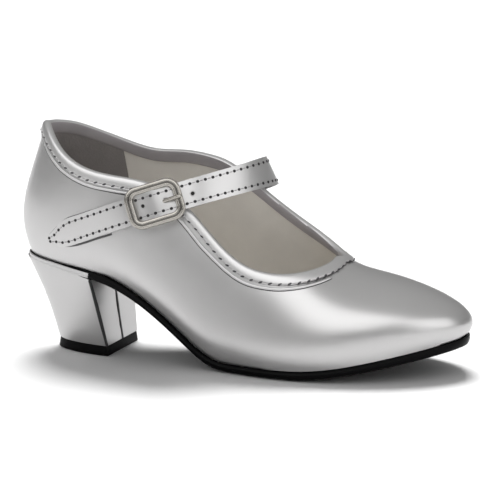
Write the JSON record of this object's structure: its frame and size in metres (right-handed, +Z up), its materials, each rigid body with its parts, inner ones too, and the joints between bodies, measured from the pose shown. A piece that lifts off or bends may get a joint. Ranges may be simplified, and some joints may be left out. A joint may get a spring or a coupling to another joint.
{
  "type": "flamenco shoe",
  "caption": "Silver right flamenco shoe with block heel, low-cut throat, bound topline and a buckled instep strap.",
  "frame": {"origin": "middle of the heel's tread, on the floor", "axes": "+X towards the toe, +Y towards the wearer's left (the inner side of this right foot), +Z up"},
  "size_m": [0.2129, 0.0749, 0.1071],
  "materials": {
    "silver_leather": "silver metallic coated leather, smooth with a fine grain, semi-gloss",
    "silver_heel": "the same silver coated leather stretched over the heel, satin",
    "black_sole": "black dyed and burnished sole, satin",
    "black_rubber": "black hard rubber, matt",
    "beige_lining": "beige-grey lining leather, matt",
    "brushed_nickel": "old nickel plate, softly brushed"
  },
  "bodies": {
    "root": {"upper": "silver_leather", "topline_binding": "silver_leather", "strap": "silver_leather", "buckle_tab": "silver_leather", "outsole": "black_sole", "insole": "beige_lining", "heel_block": "silver_heel", "top_lift": "black_rubber", "buckle_frame": "brushed_nickel", "buckle_prong": "brushed_nickel"}
  },
  "joints": []
}
